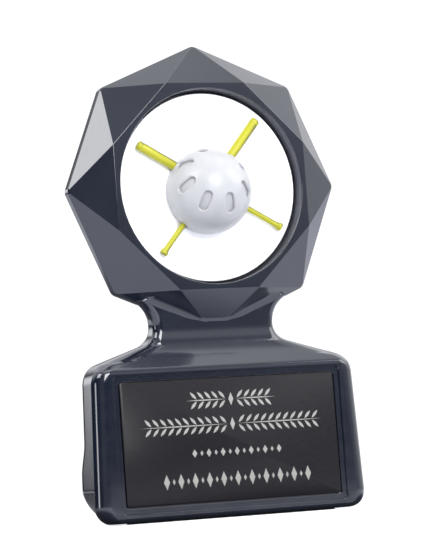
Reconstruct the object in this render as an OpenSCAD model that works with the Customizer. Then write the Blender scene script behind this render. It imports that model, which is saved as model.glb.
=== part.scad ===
// Octagonal ring award: a cast resin body with an engraving plate, and a round
// insert that carries a slotted ball over two crossed bats.
// The award faces -Y. The origin is the middle of its footprint on the table.

/* [Overall] */
// Height from the table to the top vertex of the ring
total_h = 127.3; // [126:0.1:130]
// Thickness of the felt pad under the base
felt_t = 0.8; // [0.6:0.1:1.2]
// Depth of the felt's pocket in the casting's underside
felt_recess = 0.5; // [0.3:0.1:0.6]

/* [Base block] */
// Width of the block just above its bottom corners
base_w = 78; // [76:0.5:80]
// Width of the block just under its shoulders
shoulder_w = 75.6; // [74:0.2:76]
// Height of the block's front face above the casting's underside
face_h = 41; // [40:0.25:42]
// Distance of the front face ahead of the ring's middle plane
base_front = 9; // [8.6:0.1:9.5]
// Distance of the upper back behind the ring's middle plane
base_back = 5.5; // [5:0.1:6]
// Distance of the heel behind the ring's middle plane
heel_back = 8; // [7.5:0.1:9]
// Height of the heel above the casting's underside
heel_h = 13; // [11:0.5:15]
// Radius of the lower corners in front view
foot_corner_r = 4.5; // [3:0.1:5]
// Radius of the front vertical corners seen from above
front_corner_r = 3.6; // [2.5:0.1:4.5]
// Radius of the back vertical corners seen from above
back_corner_r = 6; // [5:0.25:7]
// Radius of the front face's lower edge
toe_edge_r = 1.2; // [1:0.1:1.4]
// Radius of the heel's lower edge
heel_edge_r = 3.5; // [3:0.25:4]
// Radius that rounds off the lower back corners
heel_corner_r = 11; // [9:0.5:12]
// Radius of the shoulder corners in front view
shoulder_corner_r = 6; // [5:0.25:7]

/* [Neck] */
// Width of the neck at its narrowest
neck_w = 35; // [33:0.2:36]
// Distance of the neck's front ahead of the ring's middle plane
neck_front = 3.3; // [2.4:0.1:3.6]
// Distance of the neck's back behind the ring's middle plane
neck_back = 3.8; // [3.2:0.1:4.4]
// Radius where the neck flares out into the shoulders
shoulder_fillet_r = 5; // [4.5:0.1:5.5]
// Radius where the neck flares out into the ring
ring_fillet_r = 8; // [7.5:0.1:8.5]

/* [Ring] */
// Radius of the outer octagon through its vertices
vertex_r = 39; // [38.5:0.25:40]
// Width of the narrow band around the ring's edge
band_w = 2.4; // [2:0.1:4]
// Radius of the front and back octagons through their vertices
crown_r = 30; // [29.5:0.1:30.5]
// Distance of the front octagon ahead of the ring's middle plane
crown_front = 8; // [7.5:0.1:8.5]
// Distance of the back octagon behind the ring's middle plane
crown_back = 5; // [4.5:0.1:6]
// Width of the bevel around the mouth of the recess
mouth_bevel = 0.5; // [0.3:0.1:0.7]

/* [Insert] */
// Diameter of the insert disc
insert_d = 50.8; // [50:0.1:51.5]
// Thickness of the insert disc
insert_t = 1.6; // [1.2:0.1:2]
// Gap between the insert disc and the wall of its recess
insert_gap = 0.9; // [0.5:0.1:1]
// Depth of the insert's face below the front octagon
insert_depth = 3.2; // [2.5:0.1:3.5]
// Thickness of the adhesive foam behind the insert
foam_t = 0.8; // [0.5:0.1:1]
// Diameter of the adhesive foam
foam_d = 46; // [40:0.5:49]

/* [Ball] */
// Diameter of the ball
ball_d = 23; // [22:0.25:24]
// Thickness of the ball's shell
shell_t = 0.8; // [0.7:0.1:1.2]
// Height of the ball's middle above the insert's face
ball_rise = 2.8; // [2.6:0.1:3.4]
// Sideways offset of the ball from the insert's middle
ball_x = -1.1; // [-1.5:0.1:1.5]
// Upward offset of the ball from the insert's middle
ball_z = -1.5; // [-2:0.1:2]
// Number of slots around the ball's pole
slot_count = 8; // [6:1:8]
// Width of each slot
slot_w = 2.4; // [2:0.1:2.8]
// Angle that each slot spans along its meridian
slot_span = 17; // [14:1:20]
// Angle from the pole to the middle of each slot
slot_polar = 52; // [48:1:56]
// Upward tilt of the ball's pole
pole_tilt = 27; // [15:1:35]
// Sideways turn of the ball's pole
pole_yaw = -4; // [-10:1:10]
// Turn of the ring of slots about the pole
slot_phase = 13; // [0:1:44]

/* [Bats] */
// Length of each bat
bat_len = 46.5; // [44:0.25:47]
// Radius of the barrel at its widest
barrel_r = 1.25; // [1.1:0.05:1.3]
// Radius of the handle
handle_r = 0.75; // [0.6:0.05:0.9]
// Radius of the knob
knob_r = 1.1; // [1:0.05:1.2]
// Direction in which the first bat's barrel points
bat_a_angle = 150; // [145:1:155]
// Direction in which the second bat's barrel points
bat_b_angle = 50; // [45:1:58]

/* [Engraving plate] */
// Width of the plate
plate_w = 62; // [60:0.25:63]
// Height of the plate
plate_h = 32.6; // [31:0.2:34]
// Thickness of the plate
plate_t = 0.8; // [0.5:0.1:1]
// Height of the plate's middle above the casting's underside
plate_mid_h = 20.3; // [19.5:0.1:21]
// Radius of the plate's corners
plate_corner_r = 0.8; // [0.5:0.1:1.5]
// Thickness of the adhesive film behind the plate
film_t = 0.2; // [0.1:0.05:0.3]
// Width of the stepped border around the plate
border_w = 1.7; // [1:0.1:2]
// Depth of the stepped border below the front face
border_depth = 0.5; // [0.3:0.1:0.7]

/* [Hidden] */

$fn = 96;
// Straight pieces in each arc of an outline
arc_steps = 8;
// How far a cutter runs past the face that it opens
over = 1;
// Running clearance between the small pieces of the emblem
fit_gap = 0.12;

ring_z = total_h - vertex_r;
octagon_side = 45;
half_side = octagon_side / 2;
recess_r = insert_d / 2 + insert_gap;
insert_y = -crown_front + insert_depth;
ball_r = ball_d / 2;
shell_inner_r = ball_r - shell_t;
core_r = shell_inner_r - fit_gap;
bat_axis_h = barrel_r + fit_gap;
channel_r = barrel_r + fit_gap;
// Two pegs of the ball's core sit between the bats
peg_r = 1.5;
peg_reach = 6;
peg_angle = (bat_a_angle + bat_b_angle) / 2;

casting_z = felt_t - felt_recess;
// The lower back corners are rounded off as seen from this far round to the side
heel_corner_turn = 24;
heel_corner_reach = base_w / 2 * cos(heel_corner_turn) + heel_back * sin(heel_corner_turn)
    - back_corner_r * (cos(heel_corner_turn) + sin(heel_corner_turn) - 1);
neck_mid_z = ring_z - vertex_r + 2;
shoulder_slope = 17;
face_top = casting_z + face_h;
face_edge_r = 2.2;
neck_top = ring_z - crown_r * 0.9;
// The front slopes back from the top of the face, then curves up into the neck
front_slope = 50;
front_fillet_r = 11;
slope_start = [
    -base_front + face_edge_r * (1 - sin(front_slope)), face_top - face_edge_r * (1 - cos(front_slope))
];
slope_end_y = -neck_front - front_fillet_r * (1 - sin(front_slope));
slope_end_z = slope_start.y + (slope_end_y - slope_start.x) * tan(front_slope);
front_fillet_z = slope_end_z + front_fillet_r * cos(front_slope);
front_neck_top = neck_mid_z + 4;
back_fillet_r = 5;
heel_blend_h = 9;
// The felt keeps to the flat of the underside, which narrows towards the back
felt_front = -7.6;
felt_back = 4.2;
felt_reach = heel_corner_reach - heel_corner_r - 0.4;
felt_corner_r = 2.5;
felt_gap = 0.15;

plate_z = casting_z + plate_mid_h;
plate_gap = 0.3;
pocket_depth = border_depth + plate_t + film_t;

// Points along an arc, from angle a0 to angle a1
function arc(centre, r, a0, a1) = [
    for (i = [0:arc_steps])
        let (a = a0 + (a1 - a0) * i / arc_steps)
        [centre.x + r * cos(a), centre.y + r * sin(a)]
];
// The same outline on the other side of the middle line, in reverse order
function mirrored(points) = [
    for (i = [len(points) - 1:-1:0]) [-points[i].x, points[i].y]
];

// Right half of the block and neck in front view, from the bottom up
function right_outline() = concat(
    arc([base_w / 2 - foot_corner_r, casting_z + foot_corner_r], foot_corner_r, -90, 0),
    arc([shoulder_w / 2 - shoulder_corner_r, face_top - 4.6], shoulder_corner_r, 0, 90 - shoulder_slope),
    arc([neck_w / 2 + shoulder_fillet_r, neck_mid_z], shoulder_fillet_r, 270 - shoulder_slope, 180),
    arc([neck_w / 2 + ring_fillet_r, neck_mid_z], ring_fillet_r, 180, 90 + half_side + 2),
    [[neck_w / 2, neck_top]]
);

// Front of the block and neck in side view, from the bottom up
function front_profile() = concat(
    arc([-base_front + toe_edge_r, casting_z + toe_edge_r], toe_edge_r, 270, 180),
    arc([-base_front + face_edge_r, face_top - face_edge_r], face_edge_r, 180, 90 + front_slope),
    arc([-neck_front - front_fillet_r, front_fillet_z], front_fillet_r, front_slope - 90, 0),
    [[-neck_front, front_neck_top], [-band_w / 2, neck_top]]
);

// Back of the block and neck in side view, from the top down
function back_profile() = concat(
    [[band_w / 2, neck_top]],
    arc([neck_back + back_fillet_r, neck_mid_z], back_fillet_r, 180, 225),
    arc([base_back - face_edge_r, face_top + 2.6], face_edge_r, 40, 0),
    [for (i = [0:arc_steps])
        let (t = i / arc_steps)
        [base_back + (heel_back - base_back) * (1 - cos(180 * t)) / 2,
         casting_z + heel_h + heel_blend_h * (1 - t)]],
    arc([heel_back - heel_edge_r, casting_z + heel_edge_r], heel_edge_r, 0, -90)
);

// Right half of the block's rounded footprint, from the front to the back
function right_footprint() = concat(
    arc([base_w / 2 - front_corner_r, -base_front + front_corner_r], front_corner_r, -90, 0),
    arc([base_w / 2 - back_corner_r, heel_back - back_corner_r], back_corner_r, 0, 90)
);

// Sideways place of a felt corner, whose slanting side keeps to the felt's reach
function felt_corner_x(y) =
    (felt_reach - felt_corner_r - y * sin(heel_corner_turn)) / cos(heel_corner_turn);
// Right half of the felt's outline, or of its pocket's, which is larger by a margin
function right_felt(margin) =
    let (front_y = felt_front + felt_corner_r, back_y = felt_back - felt_corner_r)
    concat(
        arc([felt_corner_x(front_y), front_y], felt_corner_r + margin, -90, heel_corner_turn),
        arc([felt_corner_x(back_y), back_y], felt_corner_r + margin, heel_corner_turn, 90)
    );

// Corners of a regular octagon standing in the plane at the given y
function octagon(r, y, turn) = [
    for (i = [0:7]) [r * cos(turn + octagon_side * i), y, ring_z + r * sin(turn + octagon_side * i)]
];

// All that is left when one lower back corner is rounded off; side is 1 for the left one
module without_heel_corner(side) {
    left = -heel_corner_reach;
    outline = concat(
        [[2 * base_w, casting_z]],
        arc([left + heel_corner_r, casting_z + heel_corner_r], heel_corner_r, 270, 180),
        [[left, total_h], [2 * base_w, total_h]]
    );
    rotate([0, 0, -side * heel_corner_turn])
        translate([0, base_w, 0])
        rotate([90, 0, 0])
        linear_extrude(2 * base_w)
        polygon([for (p = outline) [side * p.x, p.y]]);
}

// The block and the neck: where the outlines from every side agree
module block_and_neck() {
    intersection() {
        translate([0, heel_back + over, 0])
            rotate([90, 0, 0])
            linear_extrude(base_front + heel_back + 2 * over)
            polygon(concat(right_outline(), mirrored(right_outline())));
        rotate([90, 0, 90])
            translate([0, 0, -base_w / 2 - over])
            linear_extrude(base_w + 2 * over)
            polygon(concat(front_profile(), back_profile()));
        linear_extrude(total_h)
            polygon(concat(right_footprint(), mirrored(right_footprint())));
        without_heel_corner(1);
        without_heel_corner(-1);
    }
}

// The octagonal ring's outer form: a band with sixteen triangles on each side
module ring_crown() {
    points = concat(
        octagon(crown_r, -crown_front, half_side),
        octagon(vertex_r, -band_w / 2, 0),
        octagon(vertex_r, band_w / 2, 0),
        octagon(crown_r, crown_back, half_side)
    );
    front = [[for (i = [7:-1:0]) i]];
    front_points = [for (i = [0:7]) [i, 8 + (i + 1) % 8, 8 + i]];
    front_gaps = [for (i = [0:7]) [(i + 7) % 8, i, 8 + i]];
    band = [for (i = [0:7]) [8 + i, 8 + (i + 1) % 8, 16 + (i + 1) % 8, 16 + i]];
    back_points = [for (i = [0:7]) [16 + (i + 1) % 8, 24 + i, 16 + i]];
    back_gaps = [for (i = [0:7]) [16 + i, 24 + i, 24 + (i + 7) % 8]];
    back = [[for (i = [0:7]) 24 + i]];
    polyhedron(points, concat(front, front_points, front_gaps, band, back_points, back_gaps, back));
}

// Puts its children on the insert's face, with +Z towards the viewer
module on_insert() {
    translate([0, insert_y, ring_z])
        rotate([90, 0, 0])
        children();
}

// A plate-shaped block whose back lies at the given y
module plate_block(w, h, t, back_y, corner_r) {
    translate([0, back_y, plate_z])
        rotate([90, 0, 0])
        linear_extrude(t)
        union() {
            square([w - 2 * corner_r, h], center = true);
            square([w, h - 2 * corner_r], center = true);
            for (x = [-1, 1], y = [-1, 1])
                translate([x * (w / 2 - corner_r), y * (h / 2 - corner_r)])
                circle(corner_r);
        }
}

module resin_casting() {
    color("#2b2e38")
    difference() {
        union() {
            block_and_neck();
            ring_crown();
        }
        on_insert() {
            translate([0, 0, -insert_t - foam_t])
                cylinder(r = recess_r, h = insert_t + foam_t + insert_depth + over);
            translate([0, 0, insert_depth - mouth_bevel])
                cylinder(r1 = recess_r, r2 = recess_r + mouth_bevel + over, h = mouth_bevel + over);
        }
        plate_block(plate_w + 2 * plate_gap, plate_h + 2 * plate_gap, pocket_depth + over,
            -base_front + pocket_depth, plate_corner_r);
        plate_block(plate_w + 2 * border_w, plate_h + 2 * border_w, border_depth + over,
            -base_front + border_depth, plate_corner_r);
        linear_extrude(felt_t)
            polygon(concat(right_felt(felt_gap), mirrored(right_felt(felt_gap))));
    }
}

// Holes or pegs on the two sides of the crossed bats
module at_pegs() {
    for (side = [0, 180])
        rotate([0, 0, peg_angle + side])
        translate([peg_reach, 0, 0])
        children();
}

module insert_disc() {
    color("#fbfbfb")
    on_insert()
    difference() {
        translate([0, 0, -insert_t])
            cylinder(d = insert_d, h = insert_t);
        at_pegs()
            translate([0, 0, -insert_t - over])
            cylinder(r = peg_r + fit_gap, h = insert_t + 2 * over);
    }
}

module insert_foam_pad() {
    color("#d8d4c8")
    on_insert()
    translate([0, 0, -insert_t - foam_t])
    cylinder(d = foam_d, h = foam_t);
}

// One bat along +Z, from its knob to the rounded end of its barrel
module bat_body() {
    knob_h = 1.1;
    rotate_extrude()
    polygon(concat(
        [[0, 0], [knob_r * 0.75, 0], [knob_r, knob_h * 0.35], [knob_r * 0.9, knob_h]],
        [[handle_r, knob_h + 0.6], [handle_r, bat_len * 0.38], [barrel_r * 0.86, bat_len * 0.55]],
        [[barrel_r, bat_len * 0.8]],
        arc([barrel_r - 0.6, bat_len - 0.6], 0.6, 0, 90),
        [[0, bat_len]]
    ));
}

// Lays its children along one bat's line on the insert
module along_bat(angle) {
    translate([0, 0, bat_axis_h])
        rotate([0, 90, angle])
        children();
}

// Half of the cross-lap joint: the room that the other bat takes
module lap_notch(other_angle, side) {
    half_w = barrel_r + fit_gap;
    translate([0, 0, bat_axis_h])
        rotate([0, 0, other_angle])
        translate([-bat_len / 8, -half_w, side > 0 ? -0.03 : -2 * barrel_r + 0.03])
        cube([bat_len / 4, 2 * half_w, 2 * barrel_r]);
}

module bat(angle, other_angle, side) {
    color("#e6e41f")
    on_insert()
    difference() {
        along_bat(angle)
            translate([0, 0, -bat_len / 2])
            bat_body();
        lap_notch(other_angle, side);
    }
}

module bat_a() {
    bat(bat_a_angle, bat_b_angle, 1);
}

module bat_b() {
    bat(bat_b_angle, bat_a_angle, -1);
}

// The channels that the ball leaves for the two bats, open towards the insert
module bat_channels() {
    for (angle = [bat_a_angle, bat_b_angle]) {
        along_bat(angle)
            cylinder(r = channel_r, h = 2 * ball_d, center = true);
        rotate([0, 0, angle])
            translate([-ball_d, -channel_r, -over])
            cube([2 * ball_d, 2 * channel_r, bat_axis_h + over]);
    }
}

// Everything behind the insert's face, removed from the ball
module behind_insert() {
    translate([-ball_d, -ball_d, -2 * ball_d])
        cube([2 * ball_d, 2 * ball_d, 2 * ball_d]);
}

// One radial slot along a meridian, centred on the X axis
module slot_cutter() {
    depth = ball_r + over;
    rotate([90, 0, 0])
    union() {
        rotate([0, 0, -slot_span / 2])
            rotate_extrude(angle = slot_span)
            translate([ball_r / 2, -slot_w / 2])
            square([depth - ball_r / 2, slot_w]);
        for (side = [-1, 1])
            rotate([0, 0, side * slot_span / 2])
            rotate([0, 90, 0])
            cylinder(d = slot_w, h = depth);
    }
}

// The ring of slots around the ball's tilted pole
module slots() {
    rotate([-pole_tilt, 0, 0])
    rotate([0, pole_yaw, 0])
    for (i = [0:slot_count - 1])
        rotate([0, 0, slot_phase + i * 360 / slot_count])
        rotate([0, slot_polar - 90, 0])
        slot_cutter();
}

module ball_shell() {
    color("#f1f1f3")
    on_insert()
    difference() {
        translate([ball_x, ball_z, ball_rise])
            difference() {
                sphere(r = ball_r);
                sphere(r = shell_inner_r);
                slots();
            }
        behind_insert();
        bat_channels();
    }
}

module ball_core() {
    color("#cfd0d4")
    on_insert()
    union() {
        difference() {
            translate([ball_x, ball_z, ball_rise])
                sphere(r = core_r);
            behind_insert();
            bat_channels();
        }
        at_pegs()
            translate([0, 0, -insert_t + fit_gap])
            cylinder(r = peg_r, h = insert_t + 1);
    }
}

module engraving_plate() {
    color("#2c2b30")
    plate_block(plate_w, plate_h, plate_t, -base_front + pocket_depth - film_t, plate_corner_r);
}

module plate_adhesive_film() {
    color("#c9c4b4")
    plate_block(plate_w - 2, plate_h - 2, film_t, -base_front + pocket_depth, plate_corner_r);
}

module felt_pad() {
    color("#24352b")
    linear_extrude(felt_t)
    polygon(concat(right_felt(0), mirrored(right_felt(0))));
}

resin_casting();
insert_disc();
insert_foam_pad();
ball_shell();
ball_core();
bat_a();
bat_b();
engraving_plate();
plate_adhesive_film();
felt_pad();
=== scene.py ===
"""The looks of an octagonal ring award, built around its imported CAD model.

All sizes are in millimetres until they become vertices, and every place comes from the
CAD nodes' boxes or from the named sizes below. The award faces -Y.
"""
import math

import bmesh
import bpy
import numpy as np
from mathutils import Matrix, Vector


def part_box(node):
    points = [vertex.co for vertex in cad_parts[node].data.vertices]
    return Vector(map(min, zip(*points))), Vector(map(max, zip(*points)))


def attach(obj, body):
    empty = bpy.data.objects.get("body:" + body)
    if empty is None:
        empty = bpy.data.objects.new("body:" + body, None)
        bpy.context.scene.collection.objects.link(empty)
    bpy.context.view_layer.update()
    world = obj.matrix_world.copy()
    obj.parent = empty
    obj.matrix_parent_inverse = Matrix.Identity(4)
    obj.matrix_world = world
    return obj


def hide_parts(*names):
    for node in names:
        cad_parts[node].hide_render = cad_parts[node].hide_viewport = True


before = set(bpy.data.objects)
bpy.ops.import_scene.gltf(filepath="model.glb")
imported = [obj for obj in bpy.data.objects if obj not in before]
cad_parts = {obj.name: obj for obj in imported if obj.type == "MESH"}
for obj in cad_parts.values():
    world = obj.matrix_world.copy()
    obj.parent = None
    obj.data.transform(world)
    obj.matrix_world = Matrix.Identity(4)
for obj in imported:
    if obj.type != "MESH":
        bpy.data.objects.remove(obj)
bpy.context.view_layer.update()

MM = 0.001

# Camera, at the photo's viewing angle: angles in degrees, places in metres
VIEW_AZIMUTH = -23.85
VIEW_ROLL = -4.2
CAMERA_AWAY = 0.712
CAMERA_UP = 0.0053
AIM_AT = (0.0016, 0, 0.0649)
LENS = 225

# Sky patches: (azimuth, elevation) in degrees, half angle, strength
GLOWS = (
    # from the right and above, for the ring's facets
    ((118, 18), 30, 1.1),
    ((82, 7), 26, 0.95),
    ((115, 45), 30, 1.15),
    ((78, 33), 28, 1.4),
    ((47, 57), 30, 0.8),
    ((0, 88), 35, 1.7),
    # from ahead, for the left facets, the flat fronts, the neck and the shoulders
    ((-19, 47), 28, 0.65),
    ((-35, 7), 26, 0.22),
    ((30, 16), 18, 0.65),
    ((50, 8), 22, 0.5),
    ((27, 24), 18, 0.4),
    ((10, 70), 26, 0.6),
    # from the left side and behind, for the edges and the back
    ((-92, 4), 9, 6.0),
    ((-130, 45), 34, 1.4),
    ((-157, 14), 14, 2.4),
    ((160, 12), 28, 0.35),
    ((170, 45), 34, 1.3),
)
SKY_COLOUR = (0.97, 0.98, 1.03)

# Softboxes: (azimuth, elevation), half angle as seen from the ring, brightness
SOFTBOXES = {
    "left_high": ((-70, 37), 13, 6.3),
    "right_key": ((54, 26), 15, 3.0),
    "front_high": ((-4, 22), 14, 9.0),
}
SOFTBOX_COLOUR = (0.97, 0.98, 1.0)

# The softboxes' distance, and the point that they face, in metres
SOFTBOX_AWAY = 0.9
LIT_POINT = (0, 0, 0.08)

# Floor, in metres. Its colour as the camera sees it, then in reflections far off and in its painted
# shadow close to the award
FLOOR_HALF = 2
FLOOR_SEEN = (0.9, 0.9, 0.9)
FLOOR_FAR = (0.67, 0.68, 0.74)
FLOOR_PAINTED_SHADOW = (0.05, 0.05, 0.06)
# The (centre, reach) of the two patches of painted shadow
SHADE_UNDER = ((0, 0), (0.083, 0.059))
SHADE_BEHIND = ((-0.08, 0.17), (0.21, 0.21))

# Block and neck
BASE_W = 78.0
SHOULDER_W = 75.6
FOOT_CORNER = 4.5
FRONT_CORNER = 3.6
BACK_CORNER = 6.0
SHOULDER_CORNER = 6.0
SHOULDER_SLOPE = 17
SHOULDER_DROP = 4.6
FACE_H = 41.0
FACE_EDGE = 2.2
TOE_EDGE = 1.2
HEEL_EDGE = 3.5
HEEL_CORNER = 11.0
HEEL_CORNER_TURN = 24
HEEL_H = 13.0
HEEL_BLEND = 9.0
BASE_FRONT = -9.0
BASE_BACK = 5.5
BACK_RISE = 2.6
HEEL_BACK = 8.0
NECK_W = 35.0
NECK_CORNER = 2.2
NECK_FRONT = -3.3
NECK_BACK = 3.8
SHOULDER_FILLET = 5.0
RING_FILLET = 8.0
RING_FILLET_END = 114.5
FRONT_SLOPE = 50
FRONT_FILLET = 11.0
BACK_FILLET = 5.0

# Ring
VERTEX_R = 39.0
BAND = 2.4
CROWN_R = 30.0
CROWN_FRONT = -8.0
CROWN_BACK = 5.0
BAND_CORNER = 0.9
RIDGE_EDGE = 0.1
INSERT_DEPTH = 3.2
RECESS_GAP = 0.9
RECESS_LIP = 0.3

# Ball and bats, on the insert
BALL_R = 11.5
SHELL_T = 0.8
BALL_AT = (-1.1, -1.5, 2.8)
SLOT_COUNT = 8
SLOT_W = 2.4
SLOT_SPAN = 17
SLOT_POLAR = 52
SLOT_PHASE = 13
POLE_TILT = 27
POLE_YAW = -4
BAT_LEN = 46.5
BARREL_R = 1.25
HANDLE_R = 0.75
KNOB_R = 1.1
BAT_A_ANGLE = 150
BAT_B_ANGLE = 50
FIT_GAP = 0.12

# Plate
PLATE_CORNER = 0.8
PLATE_GAP = 0.3
BORDER_W = 1.7
BORDER_DEPTH = 0.5
MARK_T = 0.03

# Felt
FELT_CORNER = 2.5
FELT_INSET = 0.4
FELT_GAP = 0.15


def box_mm(node):
    """The CAD node's lowest and highest corner, in millimetres."""
    low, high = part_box(node)
    return low / MM, high / MM


casting_low, casting_high = box_mm("resin_casting")
plate_low, plate_high = box_mm("engraving_plate")
disc_low, disc_high = box_mm("insert_disc")
felt_low, felt_high = box_mm("felt_pad")

UNDERSIDE = casting_low.z
TOP = casting_high.z
RING_Z = TOP - VERTEX_R
FACE_TOP = UNDERSIDE + FACE_H
NECK_MID = RING_Z - VERTEX_R + 2
NECK_TOP = RING_Z - CROWN_R * 0.9
INSERT_Y = disc_low.y
DISC_R = (disc_high.x - disc_low.x) / 2
RECESS_R = DISC_R + RECESS_GAP
PLATE_W = plate_high.x - plate_low.x
PLATE_H = plate_high.z - plate_low.z
PLATE_Z = (plate_low.z + plate_high.z) / 2
POCKET_FLOOR = box_mm("plate_adhesive_film")[1].y
RECESS_FLOOR = box_mm("insert_foam_pad")[1].y


# ---------------------------------------------------------------- camera and light

def aim(obj, target, roll=0.0):
    """Turns an object's -Z axis towards a point, then rolls it about that axis."""
    turn = (Vector(target) - obj.location).to_track_quat("-Z", "Y")
    obj.rotation_euler = (turn.to_matrix() @ Matrix.Rotation(roll, 3, "Z")).to_euler()


def add_camera():
    """The camera, low in front of the award and round to its left."""
    azimuth = math.radians(VIEW_AZIMUTH)
    data = bpy.data.cameras.new("camera")
    camera = bpy.data.objects.new("camera", data)
    bpy.context.scene.collection.objects.link(camera)
    camera.location = (CAMERA_AWAY * math.sin(azimuth), -CAMERA_AWAY * math.cos(azimuth), CAMERA_UP)
    aim(camera, AIM_AT, roll=math.radians(VIEW_ROLL))
    data.sensor_fit = "HORIZONTAL"
    data.sensor_width = 36
    data.lens = LENS
    data.clip_start = 0.01
    bpy.context.scene.camera = camera


def toward(direction):
    """The unit vector at (azimuth, elevation); azimuth 0 is the award's front, 90 its right."""
    azimuth, elevation = (math.radians(a) for a in direction)
    flat = math.cos(elevation)
    return Vector((flat * math.sin(azimuth), -flat * math.cos(azimuth), math.sin(elevation)))


def add_softbox(name, direction, half_angle, radiance):
    """A square area light that fills the given half angle, seen from the ring."""
    side = 2 * SOFTBOX_AWAY * math.tan(math.radians(half_angle))
    light = bpy.data.lights.new(name, "AREA")
    light.shape = "SQUARE"
    light.size = side
    light.energy = radiance * 4 * side * side
    light.color = SOFTBOX_COLOUR
    lamp = bpy.data.objects.new(name, light)
    bpy.context.scene.collection.objects.link(lamp)
    lamp.location = Vector(LIT_POINT) + SOFTBOX_AWAY * toward(direction)
    aim(lamp, LIT_POINT)
    lamp.visible_camera = False


def add_glow(tree, direction, half_angle, strength):
    """A round patch of sky that fades from 0.3 of its half angle out; returns its brightness."""
    place = tree.nodes.new("ShaderNodeTexCoord")
    towards = tree.nodes.new("ShaderNodeVectorMath")
    edge = tree.nodes.new("ShaderNodeMapRange")
    towards.operation = "DOT_PRODUCT"
    towards.inputs[1].default_value = toward(direction)
    edge.interpolation_type = "SMOOTHSTEP"
    edge.inputs["From Min"].default_value = math.cos(math.radians(half_angle))
    edge.inputs["From Max"].default_value = math.cos(math.radians(half_angle * 0.3))
    edge.inputs["To Max"].default_value = strength
    tree.links.new(place.outputs["Generated"], towards.inputs[0])
    tree.links.new(towards.outputs["Value"], edge.inputs["Value"])
    return edge.outputs["Result"]


def total_of(tree, values):
    """The sum of several node outputs."""
    total = values[0]
    for value in values[1:]:
        add = tree.nodes.new("ShaderNodeMath")
        tree.links.new(total, add.inputs[0])
        tree.links.new(value, add.inputs[1])
        total = add.outputs["Value"]
    return total


def add_studio():
    """Soft patches of sky with softboxes. Seen directly, the sky is plain white."""
    world = bpy.data.worlds.new("studio")
    bpy.context.scene.world = world
    world.use_nodes = True
    tree = world.node_tree
    tree.nodes.clear()
    sky = tree.nodes.new("ShaderNodeBackground")
    plain = tree.nodes.new("ShaderNodeBackground")
    path = tree.nodes.new("ShaderNodeLightPath")
    mix = tree.nodes.new("ShaderNodeMixShader")
    out = tree.nodes.new("ShaderNodeOutputWorld")
    sky.inputs["Color"].default_value = (*SKY_COLOUR, 1)
    plain.inputs["Color"].default_value = (1, 1, 1, 1)
    plain.inputs["Strength"].default_value = 1.1
    total = total_of(tree, [add_glow(tree, *glow) for glow in GLOWS])
    tree.links.new(total, sky.inputs["Strength"])
    tree.links.new(path.outputs["Is Camera Ray"], mix.inputs["Fac"])
    tree.links.new(sky.outputs["Background"], mix.inputs[1])
    tree.links.new(plain.outputs["Background"], mix.inputs[2])
    tree.links.new(mix.outputs["Shader"], out.inputs["Surface"])
    for name, box in SOFTBOXES.items():
        add_softbox(name, *box)
    bpy.context.scene.view_settings.view_transform = "Standard"


def floor_shadow(tree, centre, reach):
    """A soft patch of painted shadow on the floor: 1 at its centre and 0 from its reach outwards, in
    metres.
    """
    place = tree.nodes.new("ShaderNodeTexCoord")
    mapping = tree.nodes.new("ShaderNodeMapping")
    patch = tree.nodes.new("ShaderNodeTexGradient")
    mapping.vector_type = "TEXTURE"
    mapping.inputs["Location"].default_value = (*centre, 0)
    mapping.inputs["Scale"].default_value = (*reach, 1)
    patch.gradient_type = "SPHERICAL"
    tree.links.new(place.outputs["Object"], mapping.inputs["Vector"])
    tree.links.new(mapping.outputs["Vector"], patch.inputs["Vector"])
    return patch.outputs["Fac"]


def socket(sockets, identifier):
    """The socket with this identifier, for a node whose sockets share their names."""
    return next(s for s in sockets if s.identifier == identifier)


def add_floor():
    """A flat pale floor, which the white sky meets far behind the award.

    In reflections and bounced light it is a little dimmer, and has a painted shadow: it is dark
    close to the award and behind it to the left.
    """
    mesh = bpy.data.meshes.new("floor")
    corners = [(x * FLOOR_HALF, y * FLOOR_HALF, 0) for x, y in ((-1, -1), (1, -1), (1, 1), (-1, 1))]
    mesh.from_pydata(corners, [], [(0, 1, 2, 3)])
    floor = bpy.data.objects.new("floor", mesh)
    bpy.context.scene.collection.objects.link(floor)
    material, tree, shader = new_material("floor_paint")
    shader.inputs["Roughness"].default_value = 0.8
    painted_shade = tree.nodes.new("ShaderNodeMath")
    painted_shade.operation = "MAXIMUM"
    tree.links.new(floor_shadow(tree, *SHADE_UNDER), painted_shade.inputs[0])
    tree.links.new(floor_shadow(tree, *SHADE_BEHIND), painted_shade.inputs[1])
    # painted shadow: in reflections and bounced light the floor turns dark over these two patches
    bounce = blend_colours(tree, painted_shade.outputs["Value"], FLOOR_FAR, FLOOR_PAINTED_SHADOW, 0.1, 0.4)
    path = tree.nodes.new("ShaderNodeLightPath")
    seen = tree.nodes.new("ShaderNodeMix")
    seen.data_type = "RGBA"
    socket(seen.inputs, "B_Color").default_value = (*FLOOR_SEEN, 1)
    tree.links.new(path.outputs["Is Camera Ray"], socket(seen.inputs, "Factor_Float"))
    tree.links.new(bounce, socket(seen.inputs, "A_Color"))
    tree.links.new(socket(seen.outputs, "Result_Color"), shader.inputs["Base Color"])
    mesh.materials.append(material)


# ---------------------------------------------------------------- materials

def new_material(name):
    """A material with its node tree and its main shader."""
    material = bpy.data.materials.new(name)
    material.use_nodes = True
    tree = material.node_tree
    shader = tree.nodes["Principled BSDF"]
    return material, tree, shader


def noise(tree, scale, detail=3.0, stretch=(1, 1, 1)):
    """Noise in the object's own space; scale is in features per metre."""
    place = tree.nodes.new("ShaderNodeTexCoord")
    mapping = tree.nodes.new("ShaderNodeMapping")
    texture = tree.nodes.new("ShaderNodeTexNoise")
    mapping.inputs["Scale"].default_value = stretch
    texture.inputs["Scale"].default_value = scale
    texture.inputs["Detail"].default_value = detail
    tree.links.new(place.outputs["Object"], mapping.inputs["Vector"])
    tree.links.new(mapping.outputs["Vector"], texture.inputs["Vector"])
    return texture.outputs["Fac"]


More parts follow.
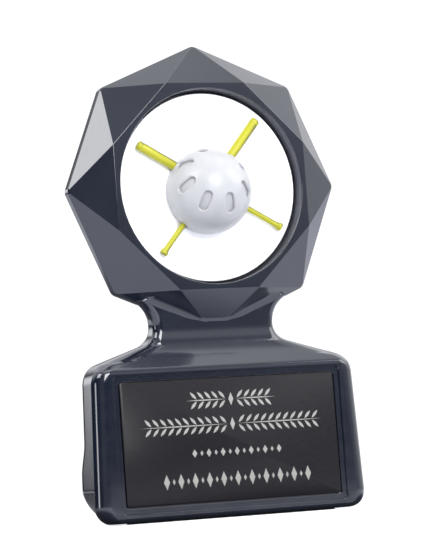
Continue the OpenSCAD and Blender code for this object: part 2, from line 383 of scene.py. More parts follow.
def blend_colours(tree, factor, dark, light, low=0.3, high=0.7):
    """A colour that runs from dark to light as the factor rises."""
    ramp = tree.nodes.new("ShaderNodeValToRGB")
    ramp.color_ramp.elements[0].position = low
    ramp.color_ramp.elements[0].color = (*dark, 1)
    ramp.color_ramp.elements[1].position = high
    ramp.color_ramp.elements[1].color = (*light, 1)
    tree.links.new(factor, ramp.inputs["Fac"])
    return ramp.outputs["Color"]


def spread(tree, factor, low, high):
    """A number that runs from low to high as noise rises over most of its range."""
    span = tree.nodes.new("ShaderNodeMapRange")
    span.inputs["From Min"].default_value = 0.3
    span.inputs["From Max"].default_value = 0.7
    span.inputs["To Min"].default_value = low
    span.inputs["To Max"].default_value = high
    tree.links.new(factor, span.inputs["Value"])
    return span.outputs["Result"]


def bump(tree, shader, layers):
    """Adds bump layers, each (height, distance in metres, strength)."""
    previous = None
    for height, distance, strength in layers:
        node = tree.nodes.new("ShaderNodeBump")
        node.inputs["Distance"].default_value = distance
        node.inputs["Strength"].default_value = strength
        tree.links.new(height, node.inputs["Height"])
        if previous is not None:
            tree.links.new(previous, node.inputs["Normal"])
        previous = node.outputs["Normal"]
    tree.links.new(previous, shader.inputs["Normal"])


def surface(name, dark, light, rough, grain, bumps, ior=1.5, coat=0.0, metallic=0.0, stretch=(1, 1, 1)):
    """A material whose colour and roughness vary with noise of the given grain.

    rough is the range of its roughness, and each bump has a scale, a distance and a strength.
    """
    material, tree, shader = new_material(name)
    cloud = noise(tree, grain, stretch=stretch)
    tree.links.new(blend_colours(tree, cloud, dark, light), shader.inputs["Base Color"])
    fine = noise(tree, grain * 5, detail=5.0, stretch=stretch)
    tree.links.new(spread(tree, fine, *rough), shader.inputs["Roughness"])
    shader.inputs["IOR"].default_value = ior
    shader.inputs["Coat Weight"].default_value = coat
    shader.inputs["Coat Roughness"].default_value = 0.08
    shader.inputs["Metallic"].default_value = metallic
    layers = [(noise(tree, scale, stretch=stretch), distance, strength)
              for scale, distance, strength in bumps]
    bump(tree, shader, layers)
    return material


def resin_black():
    return surface("resin_black", (0.005, 0.007, 0.014), (0.008, 0.011, 0.020), (0.09, 0.15), 60,
                   [(45, 0.0004, 0.2), (900, 0.00002, 0.1)], ior=1.55, coat=0.55)


def recess_painted_sheen():
    """The wall of the insert's recess: the resin with a duller finish, painted paler as a painted sheen
    for the light that the wall catches.
    """
    return surface("recess_painted_sheen", (0.050, 0.052, 0.066), (0.070, 0.072, 0.088), (0.5, 0.62), 120,
                   [(700, 0.00004, 0.3)], ior=1.5)


def insert_white():
    return surface("insert_white", (0.95, 0.95, 0.95), (0.98, 0.98, 0.98), (0.35, 0.5), 300,
                   [(4000, 0.00001, 0.2)])


def ball_white():
    return surface("ball_white", (0.375, 0.375, 0.384), (0.42, 0.42, 0.425), (0.34, 0.46), 250,
                   [(900, 0.00002, 0.2)], coat=0.1)


def core_grey():
    return surface("core_grey", (0.36, 0.36, 0.365), (0.41, 0.41, 0.415), (0.5, 0.7), 400,
                   [(1500, 0.00004, 0.4)])


def bat_yellow():
    """Yellow, with a painted shade of olive on the side that faces right."""
    material, tree, shader = new_material("bat_yellow")
    place = tree.nodes.new("ShaderNodeTexCoord")
    facing = tree.nodes.new("ShaderNodeVectorMath")
    facing.operation = "DOT_PRODUCT"
    facing.inputs[1].default_value = (0.93, 0.1, 0.35)
    tree.links.new(place.outputs["Normal"], facing.inputs[0])
    uneven = tree.nodes.new("ShaderNodeMath")
    tree.links.new(facing.outputs["Value"], uneven.inputs[0])
    tree.links.new(spread(tree, noise(tree, 400), -0.08, 0.08), uneven.inputs[1])
    # painted shade: olive where the surface faces right along this direction, yellow where it faces
    # left, with a little noise at the edge
    painted_shade = blend_colours(tree, uneven.outputs["Value"], (0.40, 0.39, 0.008), (0.12, 0.11, 0.006),
                          low=-0.05, high=0.40)
    tree.links.new(painted_shade, shader.inputs["Base Color"])
    tree.links.new(spread(tree, noise(tree, 1500), 0.3, 0.42), shader.inputs["Roughness"])
    bump(tree, shader, [(noise(tree, 1800), 0.00001, 0.1)])
    return material


def plate_black():
    return surface("plate_black", (0.007, 0.006, 0.008), (0.011, 0.010, 0.012), (0.20, 0.27), 500,
                   [(2500, 0.00001, 0.2)], ior=1.33, stretch=(1, 1, 12))


def plate_silver():
    return surface("plate_silver", (0.24, 0.24, 0.22), (0.40, 0.40, 0.37), (0.32, 0.5), 1500,
                   [(5000, 0.00002, 0.4)], metallic=0.15, stretch=(1, 1, 6))


def foam_cream():
    return surface("foam_cream", (0.60, 0.57, 0.50), (0.72, 0.69, 0.62), (0.8, 0.95), 700,
                   [(3000, 0.0001, 0.8)])


def film_cream():
    return surface("film_cream", (0.52, 0.50, 0.42), (0.62, 0.60, 0.52), (0.4, 0.6), 500,
                   [(2500, 0.00003, 0.4)])


def felt_green():
    return surface("felt_green", (0.010, 0.022, 0.015), (0.030, 0.055, 0.038), (0.9, 1.0), 2500,
                   [(6000, 0.0003, 1.0), (1200, 0.0002, 0.6)])


# ---------------------------------------------------------------- mesh helpers

def add_mesh(name, verts_mm, faces, material=None):
    """A mesh object from vertices in millimetres."""
    mesh = bpy.data.meshes.new(name)
    mesh.from_pydata([tuple(c * MM for c in v) for v in verts_mm], [], faces)
    mesh.validate()
    obj = bpy.data.objects.new(name, mesh)
    bpy.context.scene.collection.objects.link(obj)
    if material is not None:
        mesh.materials.append(material)
    return obj


def fix_normals(obj):
    """Turns every face outwards."""
    work = bmesh.new()
    work.from_mesh(obj.data)
    bmesh.ops.recalc_face_normals(work, faces=work.faces)
    work.to_mesh(obj.data)
    work.free()


def smooth_by_angle(obj, degrees):
    """Smooth shading, with edges sharper than the angle kept crisp."""
    obj.data.shade_smooth()
    obj.data.set_sharp_from_angle(angle=math.radians(degrees))


def apply_modifiers(obj):
    """Puts the shape that the modifiers give into the mesh itself."""
    bpy.context.view_layer.update()
    graph = bpy.context.evaluated_depsgraph_get()
    made = bpy.data.meshes.new_from_object(obj.evaluated_get(graph))
    old = obj.data
    obj.modifiers.clear()
    obj.data = made
    bpy.data.meshes.remove(old)


def combine(obj, others, operation):
    """Joins or cuts an object with others, which are used up."""
    for other in others:
        step = obj.modifiers.new("cut", "BOOLEAN")
        step.operation = operation
        step.solver = "EXACT"
        step.object = other
    apply_modifiers(obj)
    for other in others:
        bpy.data.objects.remove(other)


def weigh_normals(obj):
    """Lets broad flat faces keep their own normal next to narrow bevels."""
    step = obj.modifiers.new("flat_faces", "WEIGHTED_NORMAL")
    step.keep_sharp = True
    step.weight = 100


def ellipse_arc(centre, radius_x, radius_y, start, end, steps):
    """Points along an arc of an ellipse, by angle in degrees."""
    angles = np.radians(np.linspace(start, end, steps + 1))
    return [(centre[0] + radius_x * math.cos(a), centre[1] + radius_y * math.sin(a)) for a in angles]


def arc(centre, radius, start, end, steps=12):
    """Points along an arc, from one angle to another in degrees."""
    return ellipse_arc(centre, radius, radius, start, end, steps)


def loft(name, rings, material=None):
    """Skins a stack of rings that all have the same number of points, and closes its ends."""
    count = len(rings[0])
    verts = [p for ring in rings for p in ring]
    faces = []
    for i in range(len(rings) - 1):
        for j in range(count):
            k = (j + 1) % count
            faces.append((i * count + j, i * count + k, (i + 1) * count + k, (i + 1) * count + j))
    faces.append(tuple(range(count))[::-1])
    faces.append(tuple(range((len(rings) - 1) * count, len(rings) * count)))
    obj = add_mesh(name, verts, faces, material)
    fix_normals(obj)
    return obj


def lathe(name, profile, segments, material=None):
    """Turns (radius, height) points about +Z. Points with no radius become poles."""
    verts, rings = [], []
    for radius, height in profile:
        if radius < 1e-6:
            rings.append([len(verts)])
            verts.append((0, 0, height))
            continue
        rings.append(list(range(len(verts), len(verts) + segments)))
        for s in range(segments):
            a = 2 * math.pi * s / segments
            verts.append((radius * math.cos(a), radius * math.sin(a), height))
    faces = []
    for lower, upper in zip(rings, rings[1:]):
        for s in range(segments):
            t = (s + 1) % segments
            if len(lower) == 1 and len(upper) == 1:
                continue
            if len(lower) == 1:
                faces.append((lower[0], upper[t], upper[s]))
            elif len(upper) == 1:
                faces.append((lower[s], lower[t], upper[0]))
            else:
                faces.append((lower[s], lower[t], upper[t], upper[s]))
    obj = add_mesh(name, verts, faces, material)
    fix_normals(obj)
    return obj


def rounded_rect(half_w, half_h, radius, steps=6):
    """Corner arcs of a rounded rectangle about the origin, counterclockwise."""
    x, y = half_w - radius, half_h - radius
    return (arc((x, y), radius, 0, 90, steps) + arc((-x, y), radius, 90, 180, steps)
            + arc((-x, -y), radius, 180, 270, steps) + arc((x, -y), radius, 270, 360, steps))


def on_insert():
    """From the insert's face, with +Z towards the viewer, to the row's frame."""
    return Matrix.Translation((0, INSERT_Y * MM, RING_Z * MM)) @ Matrix.Rotation(math.pi / 2, 4, "X")


def moved(obj, matrix):
    """The same object, with its mesh put in place."""
    obj.data.transform(matrix)
    return obj


def shift(x, y, z):
    """A move, given in millimetres."""
    return Matrix.Translation((x * MM, y * MM, z * MM))


def turn(degrees, axis):
    """A turn about one of the axes."""
    return Matrix.Rotation(math.radians(degrees), 4, axis)


def finish_piece(obj, slot, *nodes):
    """Fixes a piece to the award's body, in place of its CAD nodes."""
    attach(obj, "root")
    if nodes:
        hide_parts(*nodes)


# ---------------------------------------------------------------- casting

def half_width_at(heights):
    """Half the width of the block and neck in front view, at each height."""
    outline = (
        arc((BASE_W / 2 - FOOT_CORNER, UNDERSIDE + FOOT_CORNER), FOOT_CORNER, -90, 0)
        + arc((SHOULDER_W / 2 - SHOULDER_CORNER, FACE_TOP - SHOULDER_DROP), SHOULDER_CORNER,
              0, 90 - SHOULDER_SLOPE)
        + arc((NECK_W / 2 + SHOULDER_FILLET, NECK_MID), SHOULDER_FILLET, 270 - SHOULDER_SLOPE, 180)
        + arc((NECK_W / 2 + RING_FILLET, NECK_MID), RING_FILLET, 180, RING_FILLET_END)[1:]
        + [(NECK_W / 2, NECK_TOP)]
    )
    return np.interp(heights, [p[1] for p in outline], [p[0] for p in outline])


def front_at(heights):
    """The front surface's y at each height: a face, a slope and a fillet up into the neck."""
    lean = math.radians(FRONT_SLOPE)
    slope_start = (BASE_FRONT + FACE_EDGE * (1 - math.sin(lean)),
                   FACE_TOP - FACE_EDGE * (1 - math.cos(lean)))
    slope_end_y = NECK_FRONT - FRONT_FILLET * (1 - math.sin(lean))
    slope_end_z = slope_start[1] + (slope_end_y - slope_start[0]) * math.tan(lean)
    fillet_z = slope_end_z + FRONT_FILLET * math.cos(lean)
    outline = (
        arc((BASE_FRONT + TOE_EDGE, UNDERSIDE + TOE_EDGE), TOE_EDGE, 270, 180)
        + arc((BASE_FRONT + FACE_EDGE, FACE_TOP - FACE_EDGE), FACE_EDGE, 180, 90 + FRONT_SLOPE)
        + arc((NECK_FRONT - FRONT_FILLET, fillet_z), FRONT_FILLET, FRONT_SLOPE - 90, 0)
        + [(NECK_FRONT, NECK_TOP)]
    )
    return np.interp(heights, [p[1] for p in outline], [p[0] for p in outline])


def back_at(heights):
    """The back surface's y at each height."""
    blend = np.linspace(0, 1, 13)
    heel = [(BASE_BACK + (HEEL_BACK - BASE_BACK) * (1 + math.cos(math.pi * t)) / 2,
             UNDERSIDE + HEEL_H + HEEL_BLEND * t) for t in blend]
    outline = (
        arc((HEEL_BACK - HEEL_EDGE, UNDERSIDE + HEEL_EDGE), HEEL_EDGE, -90, 0, 16)
        + heel
        + arc((BASE_BACK - FACE_EDGE, FACE_TOP + BACK_RISE), FACE_EDGE, 0, 40)
        + arc((NECK_BACK + BACK_FILLET, NECK_MID), BACK_FILLET, 225, 180)
        + [(BAND / 2, NECK_TOP)]
    )
    return np.interp(heights, [p[1] for p in outline], [p[0] for p in outline])


def heel_corner_reach(height):
    """How far a back corner may reach, seen past the opposite front corner."""
    turned = math.radians(HEEL_CORNER_TURN)
    across, along = BASE_W / 2 - BACK_CORNER, HEEL_BACK - BACK_CORNER
    full = across * math.cos(turned) + along * math.sin(turned) + BACK_CORNER
    low = max(0.0, HEEL_CORNER - (height - UNDERSIDE))
    return full - HEEL_CORNER + math.sqrt(HEEL_CORNER ** 2 - low ** 2)


def slice_ring(half_w, front, back, height, front_r, back_r, stretch):
    """One level slice. Its corners stretch sideways where the shoulders lie flat.

    They take up at most a set part of each side, so that opposite corners never meet.
    """
    depth = back - front
    front_x = min(front_r * stretch, half_w * 0.7)
    back_x = min(back_r * stretch, half_w * 0.7)
    front_y = min(front_r, depth * 0.45)
    back_y = min(back_r, depth * 0.5)
    cos, sin = math.cos(math.radians(HEEL_CORNER_TURN)), math.sin(math.radians(HEEL_CORNER_TURN))
    reach = (half_w - back_x) * cos + (back - back_y) * sin + math.hypot(back_x * cos, back_y * sin)
    back_w = half_w - max(0.0, reach - heel_corner_reach(height)) / cos
    corners = (
        ellipse_arc((half_w - front_x, front + front_y), front_x, front_y, -90, 0, 10)
        + ellipse_arc((back_w - back_x, back - back_y), back_x, back_y, 0, 90, 12)
        + ellipse_arc((-back_w + back_x, back - back_y), back_x, back_y, 90, 180, 12)
        + ellipse_arc((-half_w + front_x, front + front_y), front_x, front_y, 180, 270, 10)
    )
    return [(x, y, height) for x, y in corners]


def block_and_neck():
    """The block, shoulders and neck, skinned over level slices.

    The slices are closest at the foot and from the shoulders up, where the shape bends most.
    """
    foot_h = 12
    shoulder_z = FACE_TOP - 6
    levels = np.unique(np.round(np.concatenate([
        UNDERSIDE + foot_h * np.linspace(0, 1, 44) ** 2,
        np.linspace(UNDERSIDE + foot_h, shoulder_z, 20),
        np.linspace(shoulder_z, NECK_TOP, 110),
    ]), 3))
    half_w = half_width_at(levels)
    neck = smoothstep((levels - FACE_TOP + 4) / (NECK_MID - FACE_TOP))
    slant = np.abs(np.gradient(half_w, levels)) * (levels > shoulder_z) * (levels < NECK_MID)
    low = np.clip(1 - (levels - UNDERSIDE) / HEEL_CORNER, 0, 1)
    rows = zip(half_w, front_at(levels), back_at(levels), levels,
               FRONT_CORNER - 1.4 * neck, BACK_CORNER - 3.4 * neck + 3.0 * low ** 2,
               np.sqrt(1 + np.minimum(slant, 3) ** 2))
    return loft("block_and_neck", [slice_ring(*row) for row in rows])


def ring_crown():
    """The faceted ring: a narrow octagonal band and two smaller, turned octagons."""
    def octagon(radius, y, offset):
        angles = [math.radians(offset + 45 * i) for i in range(8)]
        return [(radius * math.cos(a), y, RING_Z + radius * math.sin(a)) for a in angles]

    # four octagons from front to back, with eight points each
    verts = (octagon(CROWN_R, CROWN_FRONT, 22.5) + octagon(VERTEX_R, -BAND / 2, 0)
             + octagon(VERTEX_R, BAND / 2, 0) + octagon(CROWN_R, CROWN_BACK, 22.5))
    faces = [tuple(range(8)), tuple(range(24, 32))]
    for i in range(8):
        ahead, behind = (i + 1) % 8, (i + 7) % 8
        faces.append((i, 8 + i, 8 + ahead))
        faces.append((behind, 8 + i, i))
        faces.append((8 + i, 16 + i, 16 + ahead, 8 + ahead))
        faces.append((16 + ahead, 16 + i, 24 + i))
        faces.append((16 + i, 24 + behind, 24 + i))
    obj = add_mesh("ring_crown", verts, faces)
    work = bmesh.new()
    work.from_mesh(obj.data)
    bmesh.ops.recalc_face_normals(work, faces=work.faces)
    corners = [e for e in work.edges
               if abs(e.verts[0].co.y + e.verts[1].co.y) < 1e-6 and e.calc_length() < 1.1 * BAND * MM]
    bmesh.ops.bevel(work, geom=corners, offset=BAND_CORNER * MM, segments=4, profile=0.5,
                    affect="EDGES")
    edges = [e for e in work.edges if e.calc_face_angle(0) > math.radians(12)]
    bmesh.ops.bevel(work, geom=edges, offset=RIDGE_EDGE * MM, segments=2, profile=0.5,
                    affect="EDGES", clamp_overlap=True)
    work.to_mesh(obj.data)
    work.free()
    return obj


def ring_front_at(x, z):
    """The ring's front surface: its y at each x and z outside the front octagon."""
    up = z - RING_Z
    y = np.full(x.shape, CROWN_FRONT)
    step = math.radians(22.5)
    for i in range(8):
        tip = np.array((math.cos(2 * i * step), math.sin(2 * i * step))) * VERTEX_R
        before, after = (np.array((math.cos(a), math.sin(a))) * CROWN_R
                         for a in ((2 * i - 1) * step, (2 * i + 1) * step))
        y = np.maximum(y, plane_y(x, up, before, CROWN_FRONT, after, CROWN_FRONT, tip, -BAND / 2))
        side = np.array((math.cos((2 * i + 2) * step), math.sin((2 * i + 2) * step))) * VERTEX_R
        y = np.maximum(y, plane_y(x, up, tip, -BAND / 2, side, -BAND / 2, after, CROWN_FRONT))
    return y


def plane_y(x, z, p, p_y, q, q_y, r, r_y):
    """The y at (x, z) on the plane through three points that are given as (x, z) and y."""
    slopes = np.linalg.solve(np.array((q - p, r - p)), np.array((q_y - p_y, r_y - p_y)))
    return p_y + slopes[0] * (x - p[0]) + slopes[1] * (z - p[1])


def neck_blend():
    """Fills the corner between the ring's lower facets and the neck with a soft fillet."""
    columns, rows = 120, 100
    inset = 0.5
    heights = np.linspace(NECK_MID - 1, RING_Z - CROWN_R * 0.98 + 4, rows)
    half_w = half_width_at(heights) - inset
    x = np.outer(half_w, np.linspace(-1, 1, columns))
    z = np.repeat(heights[:, None], columns, axis=1)
    from_side = half_w[:, None] - np.abs(x)
    rounding = np.clip(NECK_CORNER - inset - from_side, 0, NECK_CORNER)
    neck = NECK_FRONT + NECK_CORNER - np.sqrt(NECK_CORNER ** 2 - rounding ** 2)
    ring = ring_front_at(x, z)
    width = 0.5 + 1.3 * smoothstep((np.abs(x) - 2) / 7)
    width = width * smoothstep(from_side / 3) + 0.01
    # the fillet stands out where the two surfaces come within its width of each other
    near = np.clip(width - np.abs(ring - neck), 0, None) / width
    y = np.minimum(ring, neck) - near ** 2 * width / 4 + 0.03
    front = list(zip(x.ravel().tolist(), y.ravel().tolist(), z.ravel().tolist()))
    return height_block("neck_blend", front, columns, rows, 0.0)


def smoothstep(t):
    """Eases from 0 to 1 as t does."""
    t = np.clip(t, 0, 1)
    return t * t * (3 - 2 * t)


def height_block(name, front, columns, rows, back):
    """A solid between a grid of points and a plane behind it."""
    count = columns * rows
    verts = front + [(x, back, z) for x, y, z in front]
    faces = []
    for i in range(rows - 1):
        for j in range(columns - 1):
            k = i * columns + j
            faces.append((k, k + 1, k + columns + 1, k + columns))
            faces.append((count + k, count + k + columns, count + k + columns + 1, count + k + 1))
    rim = ([j for j in range(columns)] + [i * columns + columns - 1 for i in range(1, rows)]
           + [(rows - 1) * columns + j for j in range(columns - 2, -1, -1)]
           + [i * columns for i in range(rows - 2, 0, -1)])
    for a, b in zip(rim, rim[1:] + rim[:1]):
        faces.append((a, count + a, count + b, b))
    block = add_mesh(name, verts, faces)
    fix_normals(block)
    return block


def recess_cutter():
    """A turned cutter with a rounded lip, for the insert's recess."""
    depth, clear = INSERT_DEPTH, RECESS_R + 2.2
    floor = -(RECESS_FLOOR - INSERT_Y)
    profile = ([(0, floor), (RECESS_R, floor)]
               + arc((RECESS_R + RECESS_LIP, depth - RECESS_LIP), RECESS_LIP, 180, 110, 5)
               + [(clear, depth + 0.6), (clear, depth + 3), (0, depth + 3)])
    return moved(lathe("recess_cutter", profile, 192), on_insert())


def pocket_cutter():
    """The plate's pocket with its stepped border and eased mouth."""
    gap, border = PLATE_GAP, BORDER_W
    step = BASE_FRONT + BORDER_DEPTH
    levels = [(POCKET_FLOOR, gap), (step + 0.1, gap), (step, gap + 0.12),
              (step, border - 0.1), (BASE_FRONT + 0.16, border), (BASE_FRONT, border + 0.16),
              (BASE_FRONT - 1, border + 0.6)]
    rings = []
    for y, grow in levels:
        outline = rounded_rect(PLATE_W / 2 + grow, PLATE_H / 2 + grow, PLATE_CORNER + 0.3 * grow)
        rings.append([(x, y, PLATE_Z + z) for x, z in outline])
    return loft("pocket_cutter", rings)


def paint_recess_wall(casting):
    """Gives the insert recess's wall its duller finish and its painted sheen."""
    # the second slot holds the recess wall's painted sheen, a paler grey than the resin
    casting.data.materials.append(recess_painted_sheen())
    for face in casting.data.polygons:
        from_axis = math.hypot(face.center.x / MM, face.center.z / MM - RING_Z)
        on_wall = from_axis < RECESS_R + 0.05 and abs(face.normal.y) < 0.2
        face.material_index = 1 if on_wall else 0


def make_casting(material):
    """The casting: block, neck and ring in one, with its three pockets cut out."""
    body = block_and_neck()
    body.name = "casting"
    combine(body, [ring_crown(), neck_blend()], "UNION")
    combine(body, [recess_cutter(), pocket_cutter(), felt_cutter()], "DIFFERENCE")
    body.data.materials.clear()
    body.data.materials.append(material)
    paint_recess_wall(body)
    smooth_by_angle(body, 28)
    weigh_normals(body)
    finish_piece(body, "black_resin", "resin_casting")


# ---------------------------------------------------------------- insert and emblem

def make_insert_disc(material):
    """The white disc, with an eased front edge."""
    thick = disc_high.y - disc_low.y
    edge = 0.25
    profile = ([(0, -thick), (DISC_R - 0.1, -thick), (DISC_R, -thick + 0.1)]
               + arc((DISC_R - edge, -edge), edge, 0, 90, 5) + [(DISC_R * 0.5, 0), (0, 0)])
    disc = moved(lathe("insert_face", profile, 160, material), on_insert())
    smooth_by_angle(disc, 30)
    finish_piece(disc, "white_insert", "insert_disc")


def along_bat(angle):
    """From a bat's own axis to its line on the insert."""
    axis_h = BARREL_R + FIT_GAP
    return on_insert() @ shift(0, 0, axis_h) @ turn(angle, "Z") @ turn(90, "Y")


def bat_profile():
    """A bat from its knob to the rounded end of its barrel."""
    knob = arc((KNOB_R - 0.35, 0.35), 0.35, -90, 0, 4) + arc((KNOB_R - 0.3, 0.8), 0.3, 0, 80, 4)
    handle = [(HANDLE_R + 0.08, 1.35), (HANDLE_R, 1.8)]
    grip = []
    for i in range(9):
        at = 2.4 + 0.9 * i
        grip += [(HANDLE_R, at), (HANDLE_R - 0.04, at + 0.1),
                 (HANDLE_R - 0.04, at + 0.3), (HANDLE_R, at + 0.4)]
    taper = []
    start, end = BAT_LEN * 0.36, BAT_LEN * 0.60
    for t in np.linspace(0, 1, 13):
        radius = HANDLE_R + (BARREL_R * 0.9 - HANDLE_R) * smoothstep(t)
        taper.append((radius, start + (end - start) * t))
    barrel = [(BARREL_R, BAT_LEN * 0.8), (BARREL_R, BAT_LEN - 1.6), (BARREL_R - 0.05, BAT_LEN - 1.5),
              (BARREL_R - 0.05, BAT_LEN - 1.35), (BARREL_R, BAT_LEN - 1.25)]
    tip = arc((BARREL_R - 0.6, BAT_LEN - 0.6), 0.6, 0, 90, 6)
    return [(0, 0)] + knob + handle + grip + taper + barrel + tip + [(0, BAT_LEN)]


def lap_cutter(angle, front):
    """The half of the cross-lap joint that the other bat fills."""
    half = BARREL_R + FIT_GAP
    low, high = (-0.03, 2 * BARREL_R) if front else (-2 * BARREL_R, 0.03)
    ring = [(-BAT_LEN / 8, -half), (BAT_LEN / 8, -half), (BAT_LEN / 8, half), (-BAT_LEN / 8, half)]
    block = loft("lap_cutter", [[(x, y, z) for x, y in ring] for z in (low, high)])
    return moved(block, on_insert() @ shift(0, 0, half) @ turn(angle, "Z"))


def make_bat(node, angle, other, front, material):
    """A bat at its angle, with the half-lap cut for the other one in its front or back."""
    bat = lathe("yellow_" + node, bat_profile(), 40, material)
    moved(bat, along_bat(angle) @ shift(0, 0, -BAT_LEN / 2))
    combine(bat, [lap_cutter(other, front)], "DIFFERENCE")
    smooth_by_angle(bat, 50)
    finish_piece(bat, "bat_yellow", node)


def slot_outline(grow):
    """A slot's round-ended outline, as (across, along) angles from its middle."""
    half_w = math.degrees((SLOT_W / 2 + grow) / BALL_R)
    half_l = SLOT_SPAN / 2
    return ([(a, half_l + b) for a, b in arc((0, 0), half_w, 0, 180, 10)]
            + [(a, -half_l + b) for a, b in arc((0, 0), half_w, 180, 360, 10)])


def slot_cutter():
    """A radial cutter whose mouth flares, so that the slot's rim is rounded."""
    levels = [(BALL_R - SHELL_T - 1.5, 0), (BALL_R - 0.35, 0), (BALL_R - 0.2, 0.03),
              (BALL_R - 0.1, 0.09), (BALL_R - 0.03, 0.19), (BALL_R + 0.03, 0.36), (BALL_R + 0.5, 0.6)]
    rings = []
    for radius, grow in levels:
        ring = []
        for across, along in slot_outline(grow):
            a, b = math.radians(across), math.radians(along)
            ring.append((radius * math.cos(a) * math.cos(b), radius * math.sin(a),
                         radius * math.cos(a) * math.sin(b)))
        rings.append(ring)
    return loft("slot_cutter", rings)


def pole_turn():
    """From upright to the way the ball's pole points."""
    return turn(-POLE_TILT, "X") @ turn(POLE_YAW, "Y")


def ball_centre():
    """From the ball's centre to the row's frame."""
    return on_insert() @ shift(*BALL_AT)


def channel_cutters():
    """What the ball leaves for the bats: a round channel, open towards the insert."""
    cutters = []
    for angle in (BAT_A_ANGLE, BAT_B_ANGLE):
        radius = BARREL_R + FIT_GAP
        outline = [(-radius, -3)] + [(radius, -3)] + arc((0, 0), radius, 0, 180, 16)
        rings = [[(along, across, up) for across, up in outline] for along in (-2 * BALL_R, 2 * BALL_R)]
        tunnel = loft("channel_cutter", rings)
        cutters.append(moved(tunnel, on_insert() @ shift(0, 0, radius) @ turn(angle, "Z")))
    return cutters


def make_ball_shell(material):
    """The hollow ball, cut flat at the insert, with its slots and the bats' channels."""
    rise = BALL_AT[2]
    inner = BALL_R - SHELL_T
    outer_start = -math.degrees(math.asin(rise / BALL_R))
    inner_start = -math.degrees(math.asin(rise / inner))
    profile = arc((0, 0), BALL_R, outer_start, 90, 64) + arc((0, 0), inner, 90, inner_start, 40)
    profile.append(profile[0])
    shell = lathe("slotted_ball", profile, 144, material)
    weld(shell)
    moved(shell, ball_centre())
    cutters = channel_cutters()
    for i in range(SLOT_COUNT):
        around = turn(SLOT_PHASE + i * 360 / SLOT_COUNT, "Z")
        place = ball_centre() @ pole_turn() @ around @ turn(SLOT_POLAR - 90, "Y")
        cutters.append(moved(slot_cutter(), place))
    combine(shell, cutters, "DIFFERENCE")
    smooth_by_angle(shell, 40)
    finish_piece(shell, "ball_white", "ball_shell")


def weld(obj):
    """Joins vertices that lie on one another, and turns every face outwards."""
    work = bmesh.new()
    work.from_mesh(obj.data)
    bmesh.ops.remove_doubles(work, verts=work.verts, dist=1e-7)
    bmesh.ops.recalc_face_normals(work, faces=work.faces)
    work.to_mesh(obj.data)
    work.free()


# ---------------------------------------------------------------- plate and pad

def make_plate(material):
    """The plate, with eased front edges."""
    ease = 0.12
    levels = [(plate_high.y, 0), (plate_low.y + ease, 0),
              (plate_low.y + ease * 0.3, -ease * 0.3), (plate_low.y, -ease)]
    rings = []
    for y, grow in levels:
        outline = rounded_rect(PLATE_W / 2 + grow, PLATE_H / 2 + grow, PLATE_CORNER)
        rings.append([(x, y, PLATE_Z + z) for x, z in outline])
    plate = loft("award_plate", rings, material)
    smooth_by_angle(plate, 25)
    finish_piece(plate, "plate_black", "engraving_plate")


def lozenge(half_w, half_h):
    """An upright lozenge's outline about its middle."""
    return [(half_w, 0), (0, half_h), (-half_w, 0), (0, -half_h)]


def leaf(length, width, slant):
    """A pointed leaf's outline, with its long axis turned by slant degrees from level."""
    along = np.linspace(0, 1, 9)
    edge = width / 2 * np.sin(math.pi * along)
    upper = list(zip(length * (along - 0.5), edge))
    outline = upper + [(a, -b) for a, b in upper[-2:0:-1]]
    cos, sin = math.cos(math.radians(slant)), math.sin(math.radians(slant))
    return [(a * cos - b * sin, a * sin + b * cos) for a, b in outline]


def add_mark(verts, faces, at, outline):
    """Adds one engraved mark: a very thin solid of the given outline."""
    start, count = len(verts), len(outline)
    for y in (plate_low.y - MARK_T, plate_low.y):
        verts.extend((at[0] + a, y, at[1] + b) for a, b in outline)
    for i in range(count):
        j = (i + 1) % count
        faces.append((start + i, start + j, start + count + j, start + count + i))
    faces.append(tuple(range(start, start + count)))
    faces.append(tuple(range(start + count, start + 2 * count)))


def add_sprig(verts, faces, left, right, height, pairs):
    """Two leafy sprigs that grow outwards from a lozenge in the middle."""
    middle = (left + right) / 2
    add_mark(verts, faces, (middle, height), lozenge(0.7, 1.7))
    for side in (-1, 1):
        reach = (right - left) / 2 - 1.2
        for i in range(pairs):
            x = middle + side * (1.6 + (reach - 1.6) * (i + 0.5) / pairs)
            for up in (-1, 1):
                add_mark(verts, faces, (x, height + up * 1.25), leaf(2.7, 0.75, side * up * 48))
        stem = leaf(reach, 0.3, 0)
        add_mark(verts, faces, (middle + side * (1.2 + reach / 2), height), stem)


def add_chain(verts, faces, left, right, height, count, large, small):
    """A level chain of large and small lozenges by turns."""
    for i in range(count):
        x = left + (right - left) * i / (count - 1)
        add_mark(verts, faces, (x, height), lozenge(*(small if i % 2 else large)))


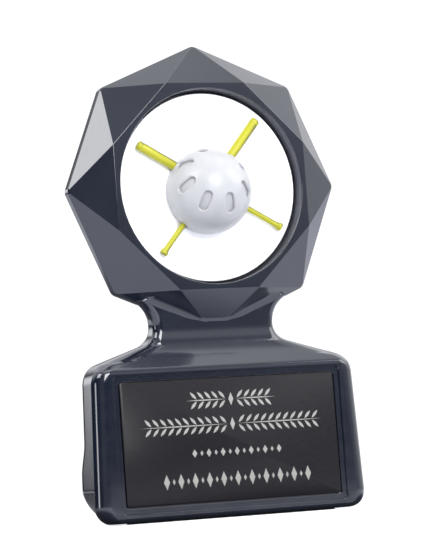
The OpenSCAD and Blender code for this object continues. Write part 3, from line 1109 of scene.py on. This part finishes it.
def make_ornament(material):
    """Four rows of plain engraved ornament on the plate."""
    verts, faces = [], []
    add_sprig(verts, faces, left=-12.5, right=13.5, height=UNDERSIDE + 30.9, pairs=5)
    add_sprig(verts, faces, left=-26.0, right=27.0, height=UNDERSIDE + 24.3, pairs=11)
    add_chain(verts, faces, left=-11.0, right=13.5, height=UNDERSIDE + 17.0, count=13,
              large=(0.7, 1.1), small=(0.45, 0.7))
    add_chain(verts, faces, left=-19.5, right=21.5, height=UNDERSIDE + 9.9, count=21,
              large=(0.85, 2.0), small=(0.4, 0.8))
    ornament = add_mesh("plate_ornament", verts, faces, material)
    fix_normals(ornament)
    finish_piece(ornament, "plate_silver")


def felt_outline(grow):
    """The felt's outline, or its pocket's: it narrows to the back with the underside's flat."""
    turned = math.radians(HEEL_CORNER_TURN)
    half = []
    for y, start, end in ((felt_low.y + FELT_CORNER, -90, HEEL_CORNER_TURN),
                          (felt_high.y - FELT_CORNER, HEEL_CORNER_TURN, 90)):
        reach = heel_corner_reach(UNDERSIDE) - FELT_INSET - FELT_CORNER
        x = (reach - y * math.sin(turned)) / math.cos(turned)
        half += arc((x, y), FELT_CORNER + grow, start, end)
    return half + [(-x, y) for x, y in reversed(half)]


def felt_cutter():
    """The felt's shallow pocket in the underside."""
    outline = felt_outline(FELT_GAP)
    return loft("felt_cutter", [[(x, y, z) for x, y in outline] for z in (-1, felt_high.z)])


def make_felt(material):
    """The pad under the base, with a soft edge."""
    levels = ((felt_low.z, -0.12), (felt_low.z + 0.12, 0),
              (felt_high.z - 0.1, 0), (felt_high.z, -0.05))
    rings = [[(x, y, z) for x, y in felt_outline(grow)] for z, grow in levels]
    felt = loft("base_felt", rings, material)
    smooth_by_angle(felt, 50)
    finish_piece(felt, "felt_green", "felt_pad")


def dress_hidden_nodes():
    """The glue layers and the ball's core keep their CAD shape."""
    finishes = {"insert_foam_pad": foam_cream, "plate_adhesive_film": film_cream, "ball_core": core_grey}
    for node, finish in finishes.items():
        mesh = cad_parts[node].data
        mesh.materials.clear()
        mesh.materials.append(finish())


add_camera()
add_studio()
add_floor()
make_casting(resin_black())
make_insert_disc(insert_white())
yellow = bat_yellow()
make_bat("bat_a", BAT_A_ANGLE, BAT_B_ANGLE, True, yellow)
make_bat("bat_b", BAT_B_ANGLE, BAT_A_ANGLE, False, yellow)
make_ball_shell(ball_white())
make_plate(plate_black())
make_ornament(plate_silver())
make_felt(felt_green())
dress_hidden_nodes()
